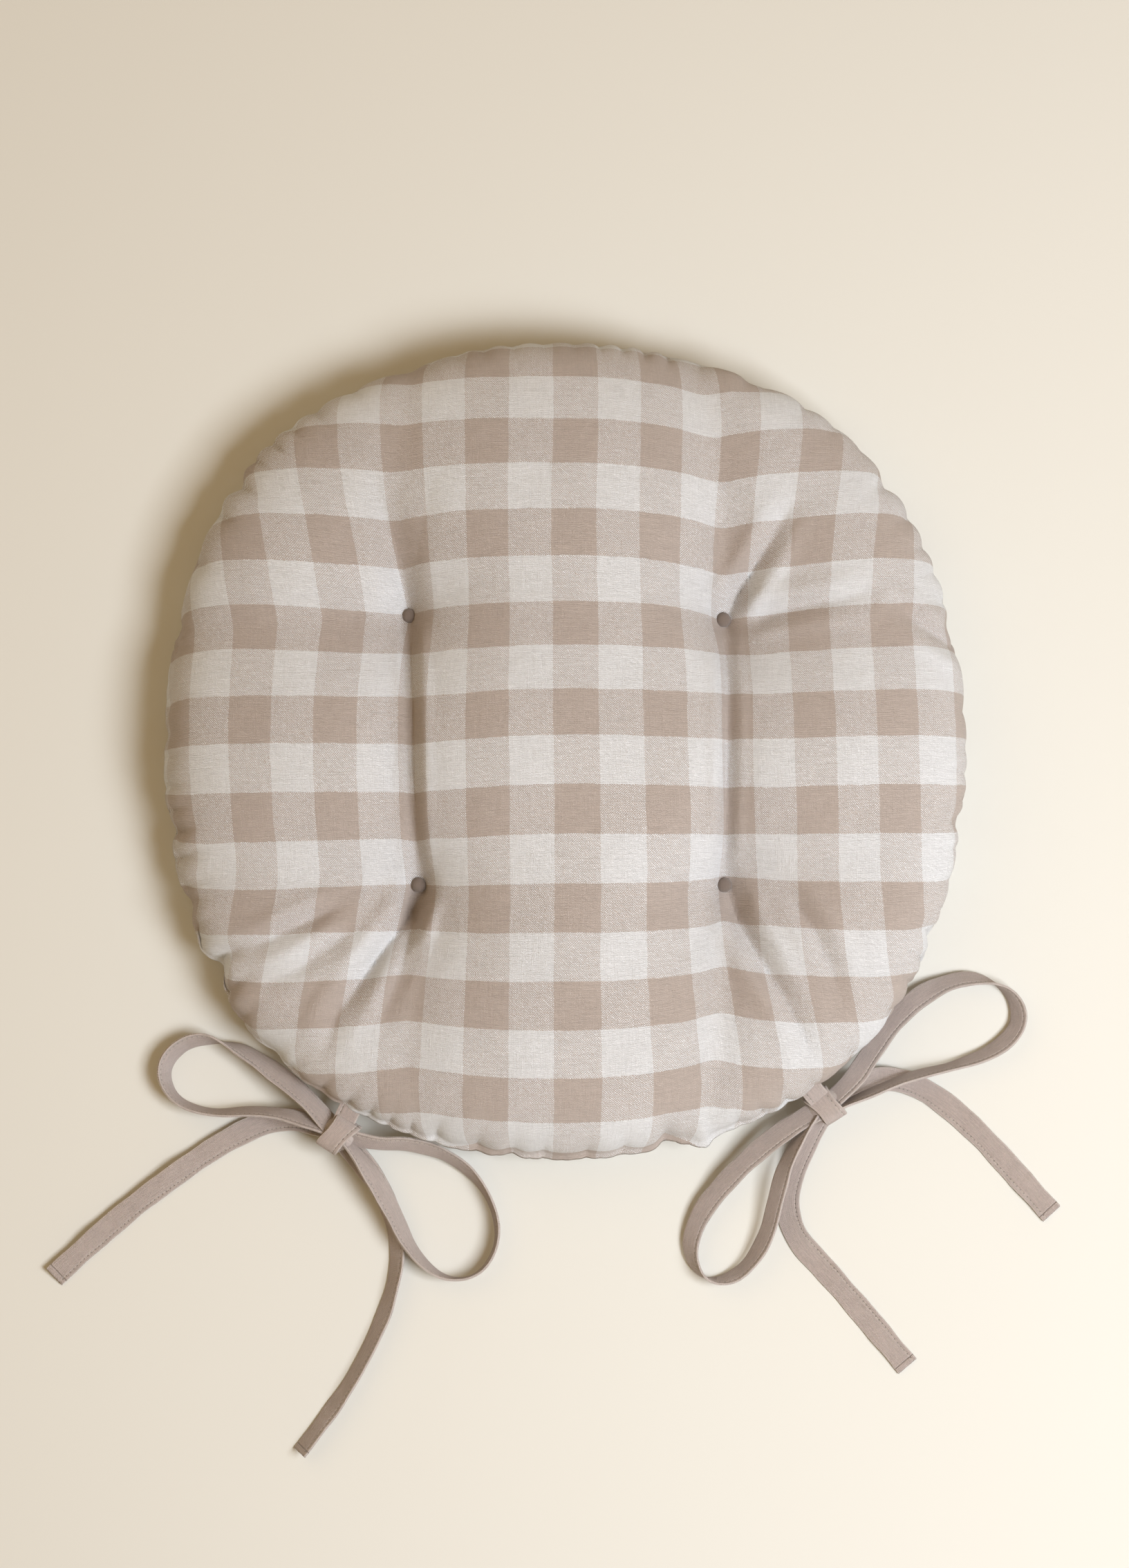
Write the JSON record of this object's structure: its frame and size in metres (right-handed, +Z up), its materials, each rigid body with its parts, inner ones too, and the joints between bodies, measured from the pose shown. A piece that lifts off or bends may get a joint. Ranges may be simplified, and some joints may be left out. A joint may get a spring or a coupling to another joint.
{
  "type": "chair seat pad",
  "caption": "Round tufted chair seat pad in woven gingham, with covered buttons, a knife-edge seam and flat tie tapes tied in bows.",
  "frame": {"origin": "under the middle of the pad, on the surface that its flat underside rests on", "axes": "+Z up through the pad, +Y towards the front of the seat, so the ties are at the rear on the -Y side"},
  "size_m": [0.5019, 0.5504, 0.072],
  "materials": {
    "gingham": "matte woven cotton, white and taupe checks",
    "tape": "matte taupe cotton tape, topstitched",
    "button_cloth": "matte taupe cotton",
    "button_core": "moulded",
    "thread": "spun sewing thread",
    "fibre": "loose polyester fibre"
  },
  "bodies": {
    "root": {"bottom_button_core_front_left": "button_core", "bottom_button_core_front_right": "button_core", "bottom_button_core_rear_left": "button_core", "bottom_button_core_rear_right": "button_core", "bottom_button_cover_front_left": "button_cloth", "bottom_button_cover_front_right": "button_cloth", "bottom_button_cover_rear_left": "button_cloth", "bottom_button_cover_rear_right": "button_cloth", "bottom_cover": "gingham", "fibre_filling": "fibre", "left_bow_knot": "tape", "left_bow_loop_inner": "tape", "left_bow_loop_outer": "tape", "left_bow_tail_inner": "tape", "left_bow_tail_outer": "tape", "left_tie_root_inner": "tape", "left_tie_root_outer": "tape", "right_bow_knot": "tape", "right_bow_loop_inner": "tape", "right_bow_loop_outer": "tape", "right_bow_tail_inner": "tape", "right_bow_tail_outer": "tape", "right_tie_root_inner": "tape", "right_tie_root_outer": "tape", "seam_stitching": "thread", "top_button_core_front_left": "button_core", "top_button_core_front_right": "button_core", "top_button_core_rear_left": "button_core", "top_button_core_rear_right": "button_core", "top_button_cover_front_left": "button_cloth", "top_button_cover_front_right": "button_cloth", "top_button_cover_rear_left": "button_cloth", "top_button_cover_rear_right": "button_cloth", "top_cover": "gingham", "tufting_thread_front_left": "thread", "tufting_thread_front_right": "thread", "tufting_thread_rear_left": "thread", "tufting_thread_rear_right": "thread"}
  },
  "joints": []
}
